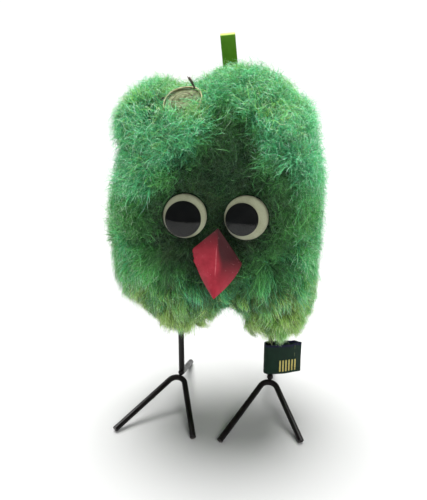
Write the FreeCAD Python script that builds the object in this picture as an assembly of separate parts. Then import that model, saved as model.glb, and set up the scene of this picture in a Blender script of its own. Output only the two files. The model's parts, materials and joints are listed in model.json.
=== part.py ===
import FreeCAD, Part

import math
import os

from FreeCAD import Vector

# A shaggy novelty bird: a fur-covered body with loose-pupil eyes and a folded beak, on two bent-wire feet.
# Millimetres. While it is made, X is to the viewer's right, +Y away from the viewer, +Z up, and the
# origin is on the floor midway between the two leg wires. "Left" and "right" are the viewer's.
# At the end everything moves to the frame of the finished part: the floor point under its middle.

# ---------------------------------------------------------------- driving dimensions

# wire feet
WIRE_D = 2.4              # painted steel wire, all of it
LEG_SPACING = 37.6        # between the two vertical shanks
ANKLE_Z = 12.7            # where a shank's line meets its rear toe's
REAR_TOE_REACH = 29.0     # along the floor, straight back
LONG_TOE_REACH = 37.2     # each front wire is bent off its middle, with the long toe on the left
SHORT_TOE_REACH = 32.2
TOE_SPREAD = 54.0         # degrees between a foot's two front toes, in plan
LEFT_FOOT_TURN = 12.0     # degrees, towards the left
RIGHT_FOOT_TURN = 3.0
APEX_RISE = 0.8           # the front wire's bend above the ankle, where the weld is
ANKLE_BEND_R = 2.6        # centreline radii
TOE_BEND_R = 3.7
WELD_PROUD = 0.1          # how far the weld's bead stands past the wires
WELD_GAP = 0.1            # between the two wires, filled by the weld

# body
FUR_BOTTOM = 32.5
FUR_HEIGHT = 109.7
FUR_WIDTH = 85.5
FUR_DEPTH = 70.0
BODY_X = -4.45            # the body sits a little left of the legs' middle
BODY_Y = 1.0
CORE_LEG_WALL = 6.2       # wood outside each leg's centre line
CORE_PADDING = 10.0       # fur and padding in front of the wooden block and behind it
CORE_FLOOR_MARGIN = 25.0  # and under it
CORE_TOP_MARGIN = 28.0    # and over it
CORE_ROUNDING = 9.0
LEG_INSERTION = 24.0      # leg wire inside the block

# eyes
EYE_D = 15.9
EYE_SPACING = 21.2
EYE_X = -1.4              # middle of the pair
EYE_Z = 93.4
EYE_TILT = 18.0           # degrees, looking up
EYE_SINK = 4.0            # back of the eye below the fur's front
EYE_BACK_T = 0.8
EYE_SKIRT_H = 2.3
EYE_CAP_H = 2.2
EYE_WALL = 0.3
LEFT_PUPIL_D = 12.5
RIGHT_PUPIL_D = 11.4
PUPIL_T = 0.8
LEFT_PUPIL_ANGLE = 239.0  # where each loose disc lies, in degrees from the viewer's right
RIGHT_PUPIL_ANGLE = 204.0
RIGHT_PUPIL_OFFSET = 1.65

# beak, a kite folded down its middle
BEAK_TOP_Z = 91.0
BEAK_LENGTH = 24.8
BEAK_WIDTH = 17.6
BEAK_LEFT_SHOULDER = 8.6  # from the top down to each corner: it is cut a little crooked
BEAK_RIGHT_SHOULDER = 12.4
BEAK_BULGE = 1.2          # roundness of the two lower edges
BEAK_T = 1.0
BEAK_FOLD_DEPTH = 4.2     # ridge in front of the corners
BEAK_LEAN = 12.0          # degrees, tip forward
BEAK_STAND = 1.0          # ridge's top in front of the fur
BEAK_ROLL = 2.5           # degrees, tip to the left
BEAK_FROM_EYES = 1.2      # to the right of the middle of the eyes

# folded ribbon standing up behind the crown
RIBBON_W = 5.7
RIBBON_RISE = 7.8         # above the crown
RIBBON_SUNK = 26.0
RIBBON_PLY = 0.6
RIBBON_SLIT = 1.6
RIBBON_TOP_X = -2.1
RIBBON_INSET = 12.0       # in front of the fur's back
RIBBON_LEAN = 5.7         # degrees, towards the left

# straw hat on the crown, with its brim turned up
HAT_BRIM_D = 14.6
HAT_LIP_H = 1.5           # brim's upturned edge
HAT_CROWN_D = 7.4
HAT_CROWN_H = 1.9
HAT_STRAW = 0.6
HAT_INSET = 20.5          # brim's middle behind the fur's front
HAT_DROP = 13.0           # and below the top of the fur
HAT_FROM_SHOULDER = 11.5  # and to the right of the left shoulder's middle
HAT_PITCH = 34.0          # degrees, facing forward
HAT_ROLL = 17.0           # degrees, to the left
BAND_H = 0.8
BAND_T = 0.35
FEATHER_L = 6.6
FEATHER_W = 1.7
FEATHER_T = 0.3
FEATHER_PLACE = 52.0      # degrees round the brim, from its right towards its far side
FEATHER_LEAN = 12.0       # degrees, tip to the left
FEATHER_WIDEST = 0.55     # share of its length

# woven label round the right leg
LABEL_REACH = 12.9
LABEL_H = 13.6
LABEL_PLY = 0.4
LABEL_SLACK = 1.1         # loose loop on the wire's other side
LABEL_BELLY = 1.7         # half of the loop's widest opening
LABEL_TURN = 12.0         # degrees, its end turned back
LABEL_LIFT = 0.4          # above the weld
STITCH_D = 0.35
STITCH_H = 1.6
STITCH_COUNT = 4
STITCH_PLACE = 0.8        # how far along each ply, from the wire to the crease

# fur's shape
# Outline of the fur, from the bottom up: height as a share of FUR_HEIGHT, then how far it reaches to the
# left, to the right, and to front and back, as shares of half the width and half the depth.
FUR_OUTLINE = [
    (0.110, 0.62, 0.76, 0.62),
    (0.190, 0.84, 0.91, 0.88),
    (0.280, 0.92, 0.94, 0.96),
    (0.380, 0.96, 0.98, 1.00),
    (0.490, 1.00, 1.00, 1.00),
    (0.600, 0.95, 0.96, 1.00),
    (0.720, 0.89, 0.97, 0.97),
    (0.790, 0.86, 0.94, 0.90),
    (0.830, 0.82, 0.89, 0.84),
    (0.880, 0.67, 0.72, 0.67),
]

# Lobes that stand out of that outline. The upper two lie across the width at a share of half of it, and
# the thighs hang round the legs.
CROWN_PLACE, CROWN_R, CROWN_HALF_L = 0.221, 26.0, 3.0
SHOULDER_PLACE, SHOULDER_R, SHOULDER_HALF_L, SHOULDER_DROP = -0.504, 15.0, 8.0, 6.9
LEFT_THIGH_INSET, LEFT_THIGH_R, LEFT_THIGH_LIFT = 3.3, 17.0, 2.5
RIGHT_THIGH_INSET, RIGHT_THIGH_R = 0.3, 16.0
THIGH_HALF_L = 8.0
SQUARENESS = 2.6          # power of the outline's curve: 2 is an ellipse
RING_POINTS = 20

# clearances
PRESS_GAP = 0.02          # glued, pressed or welded pieces
CLOTH_GAP = 0.15          # fur round anything hard
LOOSE_GAP = 0.1           # a pupil in its eye
SWIVEL_GAP = 0.25         # the label round its wire

# ---------------------------------------------------------------- derived places

WIRE_R = WIRE_D / 2
APEX_Z = ANKLE_Z + APEX_RISE
WELD_R = WIRE_R + WELD_PROUD
FUR_TOP = FUR_BOTTOM + FUR_HEIGHT
FUR_FRONT = BODY_Y - FUR_DEPTH / 2
FUR_BACK = BODY_Y + FUR_DEPTH / 2
CORE_BOTTOM = FUR_BOTTOM + CORE_FLOOR_MARGIN
CORE_TOP = FUR_TOP - CORE_TOP_MARGIN
LEG_TOP = CORE_BOTTOM + LEG_INSERTION
LEG_X = {"left": -LEG_SPACING / 2, "right": LEG_SPACING / 2}
EYE_R = EYE_D / 2
EYE_PLACE = {
    "left": Vector(EYE_X - EYE_SPACING / 2, FUR_FRONT + EYE_SINK, EYE_Z),
    "right": Vector(EYE_X + EYE_SPACING / 2, FUR_FRONT + EYE_SINK, EYE_Z),
}
UP = Vector(0, 0, 1)
ORIGIN = Vector(0, 0, 0)
FAR = 60.0                # past everything that a cutter has to clear
PAST = 1.0                # how far a hole's cutter runs past an open end


def rod(path, radius):
    """A round wire along a path of edges."""
    spine = Part.Wire(path)
    start = path[0].valueAt(path[0].FirstParameter)
    heading = path[0].tangentAt(path[0].FirstParameter)
    section = Part.Wire([Part.makeCircle(radius, start, heading)])
    return spine.makePipeShell([section], True, False)


def bent_path(start, corner, end, bend_r):
    """Two straight runs joined by an arc of one radius."""
    to_start = (start - corner).normalize()
    to_end = (end - corner).normalize()
    half = to_start.getAngle(to_end) / 2
    reach = bend_r / math.tan(half)
    middle = (to_start + to_end).normalize() * (bend_r / math.sin(half) - bend_r)
    first, last = corner + to_start * reach, corner + to_end * reach
    arc = Part.Arc(first, corner + middle, last).toShape()
    return [Part.makeLine(start, first), arc, Part.makeLine(last, end)]


def toe_tip_z(height, reach):
    """Height of a cut wire end's centre when its lower edge just touches the floor."""
    return WIRE_R * math.cos(math.atan2(height - WIRE_R, reach))


def ring(height, left, right, half_depth):
    """One closed, squarish outline round the body."""
    outline = []
    for step in range(RING_POINTS):
        turn = 2 * math.pi * step / RING_POINTS
        c, s = math.cos(turn), math.sin(turn)
        half_width = right if c > 0 else left
        x = math.copysign(abs(c) ** (2 / SQUARENESS), c) * half_width
        y = math.copysign(abs(s) ** (2 / SQUARENESS), s) * half_depth
        outline.append(Vector(BODY_X + x, BODY_Y + y, height))
    curve = Part.BSplineCurve()
    curve.interpolate(outline, PeriodicFlag=True)
    return Part.Wire([curve.toShape()])


def across(share):
    """A place across the body, as a share of half its width from its middle."""
    return BODY_X + share * FUR_WIDTH / 2


def capsule(x, z, radius, half_length):
    """A lobe of fur: a ball drawn out along Y."""
    front, back = Vector(x, BODY_Y - half_length, z), Vector(x, BODY_Y + half_length, z)
    barrel = Part.makeCylinder(radius, 2 * half_length, front, Vector(0, 1, 0))
    return barrel.fuse([Part.makeSphere(radius, front), Part.makeSphere(radius, back)]).removeSplitter()


# ---------------------------------------------------------------- wire feet

def leg_path(side):
    x = LEG_X[side]
    tip = Vector(x, REAR_TOE_REACH, toe_tip_z(ANKLE_Z, REAR_TOE_REACH))
    return bent_path(Vector(x, 0, LEG_TOP), Vector(x, 0, ANKLE_Z), tip, ANKLE_BEND_R)


def front_corner(side):
    """Where the two front toes' lines meet, so that the bend lies just in front of the shank."""
    half = math.radians(TOE_SPREAD / 2)
    return Vector(LEG_X[side], TOE_BEND_R / math.sin(half) - TOE_BEND_R - WIRE_D - WELD_GAP, APEX_Z)


def front_tip(side, turn, reach):
    corner = front_corner(side)
    heading = math.radians(turn)
    flat = Vector(-math.sin(heading), -math.cos(heading), 0) * reach
    return Vector(corner.x + flat.x, corner.y + flat.y, toe_tip_z(APEX_Z, reach))


def toe_path(side):
    turn = LEFT_FOOT_TURN if side == "left" else RIGHT_FOOT_TURN
    long_tip = front_tip(side, turn + TOE_SPREAD / 2, LONG_TOE_REACH)
    short_tip = front_tip(side, turn - TOE_SPREAD / 2, SHORT_TOE_REACH)
    return bent_path(long_tip, front_corner(side), short_tip, TOE_BEND_R)


def ankle_weld(side):
    seam = Vector(LEG_X[side], -WIRE_R - WELD_GAP / 2, APEX_Z)
    bead = Part.makeSphere(WELD_R, seam)
    return bead.cut([rod(leg_path(side), WIRE_R + PRESS_GAP), rod(toe_path(side), WIRE_R + PRESS_GAP)])


# ---------------------------------------------------------------- eyes

def faced(shape, place):
    """Turn a shape made along +Z to look forward and up, and set it in its place on the face."""
    shape.rotate(ORIGIN, Vector(1, 0, 0), 90 - EYE_TILT)
    shape.translate(place)
    return shape


def eye_back(side):
    disc = Part.makeCylinder(EYE_R - EYE_WALL - PRESS_GAP, EYE_BACK_T)
    return faced(disc, EYE_PLACE[side])


def eye_dome(side):
    ball_r = (EYE_R ** 2 + EYE_CAP_H ** 2) / (2 * EYE_CAP_H)
    ball_z = EYE_SKIRT_H + EYE_CAP_H - ball_r
    outer = Part.makeCylinder(EYE_R, EYE_SKIRT_H + EYE_CAP_H).common(
        Part.makeSphere(ball_r, Vector(0, 0, ball_z)))
    inner = Part.makeCylinder(EYE_R - EYE_WALL, FAR, Vector(0, 0, -1)).common(
        Part.makeSphere(ball_r - EYE_WALL, Vector(0, 0, ball_z)))
    return faced(outer.cut(inner), EYE_PLACE[side])


def pupil(side):
    radius = (LEFT_PUPIL_D if side == "left" else RIGHT_PUPIL_D) / 2
    at_rim = EYE_R - EYE_WALL - LOOSE_GAP - radius
    offset = at_rim if side == "left" else min(RIGHT_PUPIL_OFFSET, at_rim)
    turn = math.radians(LEFT_PUPIL_ANGLE if side == "left" else RIGHT_PUPIL_ANGLE)
    middle = Vector(offset * math.cos(turn), offset * math.sin(turn), EYE_BACK_T + LOOSE_GAP)
    disc = Part.makeCylinder(radius, PUPIL_T, middle)
    return faced(disc, EYE_PLACE[side])


def eye_seat(side):
    hole = Part.makeCylinder(EYE_R + CLOTH_GAP, FAR, Vector(0, 0, -CLOTH_GAP))
    return faced(hole, EYE_PLACE[side])


# ---------------------------------------------------------------- beak

def kite(grow):
    """The beak's flat outline as a thick block through the face, before folding, in its own frame."""
    half = BEAK_WIDTH / 2 + grow
    top = Vector(0, -FAR, grow)
    tip = Vector(0, -FAR, -BEAK_LENGTH - grow)
    left, right = Vector(-half, -FAR, -BEAK_LEFT_SHOULDER), Vector(half, -FAR, -BEAK_RIGHT_SHOULDER)

    def lower_edge(corner):
        middle = (corner + tip) * 0.5
        outward = Vector(math.copysign(1, corner.x) * (corner.z - tip.z), 0, -half).normalize()
        return Part.Arc(corner, middle + outward * BEAK_BULGE, tip).toShape()

    outline = Part.Wire(Part.sortEdges([
        Part.makeLine(top, left), lower_edge(left), lower_edge(right), Part.makeLine(right, top)])[0])
    return Part.Face(outline).extrude(Vector(0, 2 * FAR, 0))


def fold(front, back):
    """A chevron-shaped slab whose ridge runs down the beak, from `front` to `back` behind the ridge."""
    wing = 2 * BEAK_WIDTH
    slope = BEAK_FOLD_DEPTH / (BEAK_WIDTH / 2)
    sunk = slope * wing
    plan = [Vector(-wing, front + sunk, 0), Vector(0, front, 0), Vector(wing, front + sunk, 0),
            Vector(wing, back + sunk, 0), Vector(0, back, 0), Vector(-wing, back + sunk, 0)]
    slab = Part.Face(Part.makePolygon(plan + plan[:1])).extrude(Vector(0, 0, 2 * FAR))
    slab.translate(Vector(0, 0, -FAR))
    return slab


def placed_beak(shape):
    shape.rotate(ORIGIN, Vector(1, 0, 0), -BEAK_LEAN)
    shape.rotate(ORIGIN, Vector(0, 1, 0), BEAK_ROLL)
    shape.translate(Vector(EYE_X + BEAK_FROM_EYES, FUR_FRONT - BEAK_STAND, BEAK_TOP_Z))
    return shape


def beak():
    return placed_beak(kite(0).common(fold(0, BEAK_T)))


def beak_seat():
    return placed_beak(kite(CLOTH_GAP).common(fold(-FAR, BEAK_T + CLOTH_GAP)))


# ---------------------------------------------------------------- ribbon

def leaning(shape):
    """Lean a shape made hanging from the origin to the left, and hang it from the ribbon's top."""
    shape.rotate(ORIGIN, Vector(0, 1, 0), -RIBBON_LEAN)
    shape.translate(Vector(RIBBON_TOP_X, FUR_BACK - RIBBON_INSET, FUR_TOP + RIBBON_RISE))
    return shape


def ribbon_block(width, thickness, grow_down):
    """A strip standing on its end, with a rounded top."""
    length = RIBBON_RISE + RIBBON_SUNK + grow_down
    radius = thickness / 2
    strip = Part.makeBox(width, thickness, length - radius, Vector(-width / 2, -radius, -length))
    bend = Part.makeCylinder(radius, width, Vector(-width / 2, 0, -radius), Vector(1, 0, 0))
    return leaning(strip.fuse(bend).removeSplitter())


def tail_ribbon():
    whole = ribbon_block(RIBBON_W, 2 * RIBBON_PLY + RIBBON_SLIT, 0)
    length = RIBBON_RISE + RIBBON_SUNK
    slit = Part.makeBox(2 * FAR, RIBBON_SLIT, length - RIBBON_PLY + PAST,
                        Vector(-FAR, -RIBBON_SLIT / 2, -length - PAST))
    return whole.cut(leaning(slit))


def ribbon_seat():
    return ribbon_block(RIBBON_W + 2 * CLOTH_GAP, 2 * RIBBON_PLY + RIBBON_SLIT + 2 * CLOTH_GAP, CLOTH_GAP)


# ---------------------------------------------------------------- straw hat

def on_crown(shape):
    """Turn a shape made along +Z to lie on the crown's front slope, tilted to the left."""
    shape.rotate(ORIGIN, Vector(1, 0, 0), HAT_PITCH)
    shape.rotate(ORIGIN, Vector(0, 1, 0), -HAT_ROLL)
    middle_x = across(SHOULDER_PLACE) + HAT_FROM_SHOULDER
    shape.translate(Vector(middle_x, FUR_FRONT + HAT_INSET, FUR_TOP - HAT_DROP))
    return shape


def straw_hat():
    brim = Part.makeCylinder(HAT_BRIM_D / 2, HAT_LIP_H)
    dish = Part.makeCylinder(HAT_BRIM_D / 2 - HAT_STRAW, HAT_LIP_H, Vector(0, 0, HAT_STRAW))
    brim = brim.cut(dish)
    crown = Part.makeCylinder(HAT_CROWN_D / 2, HAT_CROWN_H)
    rim = [edge for edge in crown.Edges if edge.Curve.TypeId == "Part::GeomCircle"
           and edge.BoundBox.ZMin > HAT_CROWN_H / 2]
    crown = crown.makeFillet(HAT_STRAW, rim)
    hollow = Part.makeCylinder(HAT_CROWN_D / 2 - HAT_STRAW, HAT_CROWN_H - HAT_STRAW)
    return on_crown(brim.fuse(crown).removeSplitter().cut(hollow))


def hat_band():
    inner = HAT_CROWN_D / 2 + PRESS_GAP
    base = Vector(0, 0, HAT_STRAW + PRESS_GAP)
    outside = Part.makeCylinder(inner + BAND_T, BAND_H, base)
    return on_crown(outside.cut(Part.makeCylinder(inner, BAND_H, base)))


def hat_feather():
    """A small dark feather that stands on the brim, against the inside of its upturned edge."""
    base, tip = Vector(0, 0, 0), Vector(0, 0, FEATHER_L)
    half, widest = FEATHER_W / 2, FEATHER_L * FEATHER_WIDEST
    vane = Part.Wire([Part.Arc(base, Vector(-half, 0, widest), tip).toShape(),
                      Part.Arc(tip, Vector(half, 0, widest), base).toShape()])
    blade = Part.Face(vane).extrude(Vector(0, FEATHER_T, 0))
    blade.rotate(ORIGIN, Vector(0, 1, 0), -FEATHER_LEAN)
    # a flat blade in a round dish: its widest part just clears the edge
    from_middle = math.sqrt((HAT_BRIM_D / 2 - HAT_STRAW - PRESS_GAP) ** 2 - half ** 2) - FEATHER_T
    blade.translate(Vector(0, from_middle, HAT_STRAW + PRESS_GAP))
    blade.rotate(ORIGIN, UP, FEATHER_PLACE - 90)
    return on_crown(blade)


def hat_seat():
    pocket = Part.makeCylinder(HAT_BRIM_D / 2 + CLOTH_GAP, FAR, Vector(0, 0, -CLOTH_GAP))
    return on_crown(pocket)


# ---------------------------------------------------------------- label

LABEL_BASE = APEX_Z + WELD_R + LABEL_LIFT


def label_outline(inward):
    """The ribbon's loop in plan, as four edges: round the wire, front ply, crease, back ply."""
    wire_end = WIRE_R + SWIVEL_GAP + LABEL_PLY - inward
    crease = LABEL_PLY + SWIVEL_GAP / 2 - inward
    belly = LABEL_BELLY + LABEL_PLY - inward
    near_x = -LABEL_SLACK
    far_x = LABEL_REACH - LABEL_PLY - SWIVEL_GAP / 2
    middle_x = (near_x + far_x) / 2
    near_front, near_back = Vector(near_x, -wire_end, 0), Vector(near_x, wire_end, 0)
    far_front, far_back = Vector(far_x, -crease, 0), Vector(far_x, crease, 0)
    return [
        Part.Arc(near_back, Vector(near_x - wire_end, 0, 0), near_front).toShape(),
        Part.Arc(near_front, Vector(middle_x, -belly, 0), far_front).toShape(),
        Part.Arc(far_front, Vector(far_x + crease, 0, 0), far_back).toShape(),
        Part.Arc(far_back, Vector(middle_x, belly, 0), near_back).toShape(),
    ]


def label_block(inward):
    return Part.Face(Part.Wire(label_outline(inward))).extrude(Vector(0, 0, LABEL_H))


def on_right_leg(shape):
    shape.rotate(ORIGIN, UP, LABEL_TURN)
    shape.translate(Vector(LEG_X["right"], 0, LABEL_BASE))
    return shape


def thread_places():
    """Where the seam lies on the front ply and, straight behind it, on the back ply."""
    front = label_outline(0)[1]
    place = front.valueAt(front.FirstParameter + STITCH_PLACE * (front.LastParameter - front.FirstParameter))
    return place, Vector(place.x, -place.y, 0)


def stitches():
    """A row of stitches through both plies: a bar of thread on each face and a thread between them."""
    front, back = thread_places()
    made = []
    pitch = LABEL_H / STITCH_COUNT
    for index in range(STITCH_COUNT):
        middle = UP * (pitch * (index + 0.5))
        foot = middle - UP * (STITCH_H / 2)
        bars = [Part.makeCylinder(STITCH_D / 2, STITCH_H, place + foot) for place in (front, back)]
        through = Part.makeCylinder(STITCH_D / 4, (back - front).Length, front + middle, back - front)
        made.append(through.fuse(bars))
    return made


def label():
    return on_right_leg(label_block(0).cut(label_block(LABEL_PLY)).cut(stitches()))


def label_stitches():
    return on_right_leg(Part.makeCompound(stitches()))


# ---------------------------------------------------------------- body

def core_block(grow):
    """A wooden block with every edge rounded, `grow` larger on each face."""
    width = LEG_SPACING + 2 * CORE_LEG_WALL + 2 * grow
    depth = FUR_DEPTH - 2 * CORE_PADDING + 2 * grow
    height = CORE_TOP - CORE_BOTTOM + 2 * grow
    rounding = min(CORE_ROUNDING + grow, min(width, depth, height) / 2 - PAST)
    block = Part.makeBox(width, depth, height, Vector(-width / 2, BODY_Y - depth / 2, CORE_BOTTOM - grow))
    return block.makeFillet(rounding, block.Edges)


def body_core():
    deep = LEG_INSERTION + PRESS_GAP + PAST
    holes = [Part.makeCylinder(WIRE_R + PRESS_GAP, deep, Vector(x, 0, CORE_BOTTOM - PAST))
             for x in LEG_X.values()]
    return core_block(0).cut(holes)


def fur_shape():
    rings = [ring(FUR_BOTTOM + FUR_HEIGHT * height, left * FUR_WIDTH / 2, right * FUR_WIDTH / 2,
                  depth * FUR_DEPTH / 2) for height, left, right, depth in FUR_OUTLINE]
    trunk = Part.makeLoft(rings, True, False)
    lobes = [
        capsule(across(CROWN_PLACE), FUR_TOP - CROWN_R, CROWN_R, CROWN_HALF_L),
        capsule(across(SHOULDER_PLACE), FUR_TOP - SHOULDER_DROP - SHOULDER_R, SHOULDER_R, SHOULDER_HALF_L),
        capsule(LEG_X["left"] + LEFT_THIGH_INSET, FUR_BOTTOM + LEFT_THIGH_LIFT + LEFT_THIGH_R,
                LEFT_THIGH_R, THIGH_HALF_L),
        capsule(LEG_X["right"] - RIGHT_THIGH_INSET, FUR_BOTTOM + RIGHT_THIGH_R, RIGHT_THIGH_R, THIGH_HALF_L),
    ]
    return trunk.fuse(lobes).removeSplitter()


def fur_cover():
    leg_holes = [Part.makeCylinder(WIRE_R + CLOTH_GAP, CORE_BOTTOM + CORE_ROUNDING, Vector(x, 0, 0))
                 for x in LEG_X.values()]
    seats = [core_block(CLOTH_GAP), beak_seat(), ribbon_seat(), hat_seat()]
    seats += [eye_seat("left"), eye_seat("right")]
    return fur_shape().cut(seats + leg_holes)


# ---------------------------------------------------------------- export

def pieces():
    made = {"body_core": body_core(), "fur_cover": fur_cover(), "beak": beak(), "tail_ribbon": tail_ribbon(),
            "straw_hat": straw_hat(), "hat_band": hat_band(), "hat_feather": hat_feather(),
            "label": label(), "label_stitches": label_stitches()}
    for side in ("left", "right"):
        made[side + "_leg_wire"] = rod(leg_path(side), WIRE_R)
        made[side + "_toe_wire"] = rod(toe_path(side), WIRE_R)
        made[side + "_ankle_weld"] = ankle_weld(side)
        made[side + "_eye_back"] = eye_back(side)
        made[side + "_eye_dome"] = eye_dome(side)
        made[side + "_pupil"] = pupil(side)
    return made


def main():
    os.makedirs("parts", exist_ok=True)
    made = pieces()
    box = Part.makeCompound(list(made.values())).optimalBoundingBox(False, False)
    to_frame = Vector(-(box.XMin + box.XMax) / 2, -(box.YMin + box.YMax) / 2, -box.ZMin)
    for name, shape in made.items():
        shape.translate(to_frame)
        state = "valid" if shape.isValid() else "BAD"
        print(name, len(shape.Solids), "solid(s)", round(shape.Volume, 3), "mm3", state)
        shape.exportStep(f"parts/{name}.step")
    print("frame moved by", to_frame)


main()
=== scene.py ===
import json
import math

import bmesh
import bpy
import numpy as np
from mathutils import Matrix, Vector
from mathutils.kdtree import KDTree


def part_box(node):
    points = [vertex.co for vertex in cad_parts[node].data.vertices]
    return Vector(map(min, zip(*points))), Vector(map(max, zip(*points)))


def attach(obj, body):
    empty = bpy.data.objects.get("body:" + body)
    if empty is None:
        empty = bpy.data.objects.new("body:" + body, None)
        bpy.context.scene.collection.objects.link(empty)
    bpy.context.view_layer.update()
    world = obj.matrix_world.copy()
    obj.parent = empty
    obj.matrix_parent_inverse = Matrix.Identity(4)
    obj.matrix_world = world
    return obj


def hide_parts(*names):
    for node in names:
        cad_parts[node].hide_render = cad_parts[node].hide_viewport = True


# A shaggy novelty bird on bent-wire feet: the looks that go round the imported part.
# Sizes are in millimetres in the part's own frame, and go to metres when a mesh is made.
# "bold" hairs may lie over the edge of an eye or the hat, and the rest part round them.

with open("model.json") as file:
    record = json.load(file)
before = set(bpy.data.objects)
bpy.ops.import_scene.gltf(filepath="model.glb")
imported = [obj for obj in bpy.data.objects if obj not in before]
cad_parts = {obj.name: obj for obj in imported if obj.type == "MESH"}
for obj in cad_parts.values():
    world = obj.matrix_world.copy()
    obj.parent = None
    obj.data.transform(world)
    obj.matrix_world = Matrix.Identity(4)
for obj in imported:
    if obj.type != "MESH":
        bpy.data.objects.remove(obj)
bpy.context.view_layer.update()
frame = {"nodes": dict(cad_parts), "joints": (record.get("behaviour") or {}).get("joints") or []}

MM = 0.001
NODES = frame["nodes"]
JOINTS = {joint["name"]: joint for joint in frame["joints"]}
SIDES = ("left", "right")
draw = np.random.default_rng(20)


def node_box(name):
    """Lowest and highest corner of a CAD node, in millimetres."""
    low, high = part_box(name)
    return np.array(low) / MM, np.array(high) / MM


def joint_place(name):
    """A joint's point in millimetres, and its axis."""
    joint = JOINTS[name]
    return np.array(joint["pos_m"]) / MM, np.array(joint["axis"], float)


def lengths(vectors):
    return np.linalg.norm(vectors, axis=-1)


def unit(vectors):
    return vectors / np.maximum(lengths(vectors)[..., None], 1e-9)


def soft_step(value, start, end):
    """0 before start, 1 after end, smooth between."""
    t = np.clip((value - start) / (end - start), 0, 1)
    return t * t * (3 - 2 * t)


def rotated(a, b, angle):
    """Two coordinates turned by an angle in their own plane."""
    return a * math.cos(angle) - b * math.sin(angle), a * math.sin(angle) + b * math.cos(angle)


def from_axis(p, middle, axis):
    """How far points are along an axis through middle, and the way out to them from it."""
    q = p - middle
    height = q @ axis
    return height, q - height[:, None] * axis


def srgb(red, green, blue):
    """A colour as seen on a screen, 0 to 255, in the linear values that a shader takes."""
    parts = [v / 255 for v in (red, green, blue)]
    linear = [v / 12.92 if v <= 0.04045 else ((v + 0.055) / 1.055) ** 2.4 for v in parts]
    return (*linear, 1.0)


# ---- places, from the frame

fur_low, fur_high = node_box("fur_cover")
BODY_MIDDLE = (fur_low + fur_high) / 2
BODY_HALF = (fur_high - fur_low) / 2
BODY_BOTTOM = fur_low[2]
BODY_HEIGHT = fur_high[2] - fur_low[2]
leg_low, leg_high = node_box("left_leg_wire")
WIRE_R = (leg_high[0] - leg_low[0]) / 2
LEG_X = {side: node_box(side + "_leg_wire")[0][0] + WIRE_R for side in SIDES}
LEG_Y = leg_low[1] + WIRE_R
EYE_PLACE = {side: joint_place(side + "_pupil_roll")[0] for side in SIDES}
EYE_AXIS = joint_place("left_pupil_roll")[1]
dome_low, dome_high = node_box("left_eye_dome")
EYE_R = (dome_high[0] - dome_low[0]) / 2
FACE_X = (EYE_PLACE["left"][0] + EYE_PLACE["right"][0]) / 2
ribbon_low, ribbon_high = node_box("tail_ribbon")

# ---- camera

CAMERA_FROM_LEGS = (20.87, -265.18)   # right of the middle of the legs, and in front of them
CAMERA_HEIGHT = 172.9
CAMERA_PITCH = 21.25      # degrees below the horizon
CAMERA_HEADING = 5.615    # degrees to the left of straight back
CAMERA_LENS = 51.84       # on a sensor 36 mm along its long side

camera_data = bpy.data.cameras.new("camera")
camera_data.lens = CAMERA_LENS
camera_data.clip_start = 0.01
camera_data.clip_end = 50
camera = bpy.data.objects.new("camera", camera_data)
legs_middle = (LEG_X["left"] + LEG_X["right"]) / 2
camera.location = (
    (legs_middle + CAMERA_FROM_LEGS[0]) * MM, (LEG_Y + CAMERA_FROM_LEGS[1]) * MM, CAMERA_HEIGHT * MM)
camera.rotation_euler = (math.radians(90 - CAMERA_PITCH), 0, math.radians(CAMERA_HEADING))
bpy.context.scene.collection.objects.link(camera)
bpy.context.scene.camera = camera

# ---- mesh and material helpers


def add_mesh(mesh, look):
    """A shown piece of the bird from a finished mesh, with the mesh's name."""
    mesh.materials.append(look.material)
    piece = bpy.data.objects.new(mesh.name, mesh)
    bpy.context.scene.collection.objects.link(piece)
    return piece


def set_uv(mesh, uv):
    """Give each face corner its UV place, in the map named OFBake."""
    layer = mesh.uv_layers.new(name="OFBake")
    layer.uv.foreach_set("vector", uv.astype(np.float32).ravel())


def triangle_mesh(name, places, triangles, uv=None):
    """A smooth mesh of triangles from arrays, in millimetres, with an optional UV place for each corner."""
    mesh = bpy.data.meshes.new(name)
    mesh.vertices.add(len(places))
    mesh.vertices.foreach_set("co", (np.asarray(places) * MM).astype(np.float32).ravel())
    mesh.loops.add(triangles.size)
    mesh.loops.foreach_set("vertex_index", triangles.astype(np.int32).ravel())
    mesh.polygons.add(len(triangles))
    mesh.polygons.foreach_set("loop_start", np.arange(0, triangles.size, 3, dtype=np.int32))
    if uv is not None:
        set_uv(mesh, uv)
    mesh.update(calc_edges=True)
    mesh.validate()
    mesh.shade_smooth()
    return mesh


WEAVE_SHARE = 2.13        # a sheet's front takes a little under half of the UV square's width


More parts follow.
